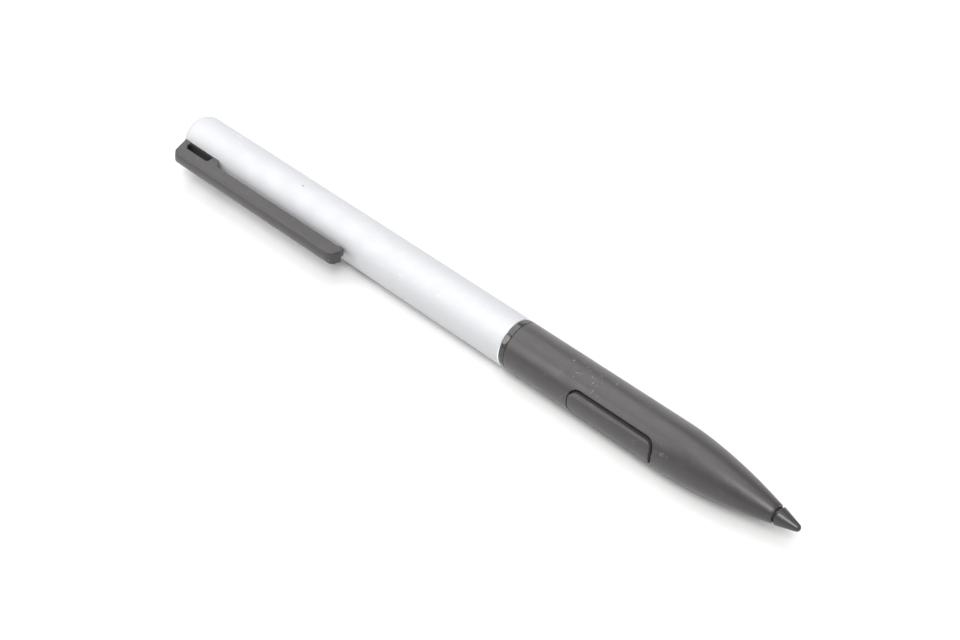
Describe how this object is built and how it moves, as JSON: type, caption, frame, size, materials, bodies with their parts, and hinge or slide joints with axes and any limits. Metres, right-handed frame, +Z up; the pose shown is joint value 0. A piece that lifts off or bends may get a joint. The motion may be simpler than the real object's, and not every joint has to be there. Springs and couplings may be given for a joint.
{
  "type": "active stylus pen",
  "caption": "Cylindrical active stylus pen with a satin metal barrel, black side clip with lanyard eye, soft black grip, long rocker button and conical nib.",
  "frame": {"origin": "centre of the bounding box's bottom face, with the pen lying on its barrel on z = 0", "axes": "+X runs along the pen towards the nib, +Z is up from the surface it lies on, and the clip points to -Y, 10 degrees above level"},
  "size_m": [0.1464, 0.0142, 0.0095],
  "materials": {
    "satin_aluminium": "bead-blasted, clear anodised",
    "clip_plastic": "fine moulded texture",
    "soft_black": "soft-touch coating",
    "button_black": "smooth matt",
    "gloss_black": "polished",
    "nib_black": "semi-gloss, worn smooth at the tip",
    "inner_plastic": "as moulded",
    "chip_black": "moulded component body",
    "board": "green solder mask",
    "cell_label": "shrunk film, plain",
    "steel": "nickel plated",
    "brass": "plated contact metal",
    "seal_rubber": "moulded"
  },
  "bodies": {
    "rear_body": {"barrel_tube": "satin_aluminium", "clip_head": "clip_plastic", "tail_insert": "inner_plastic", "clip_lock_pin": "steel", "tail_contact": "steel", "battery_spring": "steel", "battery_can": "steel", "battery_sleeve": "cell_label", "battery_washer": "seal_rubber", "battery_nub": "steel", "collar_ring": "gloss_black"},
    "clip_blade": {"clip_arm": "clip_plastic"},
    "front_body": {"spigot": "inner_plastic", "seal_ring": "seal_rubber", "front_contact": "brass", "grip_shell": "soft_black", "inner_chassis": "inner_plastic", "circuit_board": "board", "shield_can": "steel", "controller_chip": "chip_black", "boost_coil": "chip_black", "clock_crystal": "steel", "rear_screw": "steel", "front_screw": "steel", "rear_switch_body": "inner_plastic", "front_switch_body": "inner_plastic", "button_pin": "steel", "sensor_carrier": "inner_plastic", "pressure_sensor": "steel", "sensor_lead": "brass", "antenna_ring": "brass", "nose_bush": "clip_plastic"},
    "button": {"side_button": "button_black", "rear_switch_plunger": "chip_black", "front_switch_plunger": "chip_black"},
    "nib_slide": {"nib_holder": "inner_plastic", "nib": "nib_black"}
  },
  "joints": [
    {"name": "clip_flex", "type": "hinge", "parent": "rear_body", "child": "clip_blade", "pos_m": [-0.05874, -0.00671, 0.00633], "axis": [0, -0.1736, -0.9848], "range_deg": [0, 3.5], "stiffness_Nm_per_rad": 2},
    {"name": "front_pull", "type": "slide", "parent": "rear_body", "child": "front_body", "axis": [1, 0, 0], "range_m": [0, 0.0212]},
    {"name": "button_rock", "type": "hinge", "parent": "front_body", "child": "button", "pos_m": [0.03846, 0.00028, 0.0051], "axis": [0, 0.1736, 0.9848], "range_deg": [-1.5, 1.5], "stiffness_Nm_per_rad": 0.4},
    {"name": "nib_press", "type": "slide", "parent": "front_body", "child": "nib_slide", "axis": [-1, 0, 0], "range_m": [0, 0.0003], "stiffness_N_per_m": 2500}
  ]
}
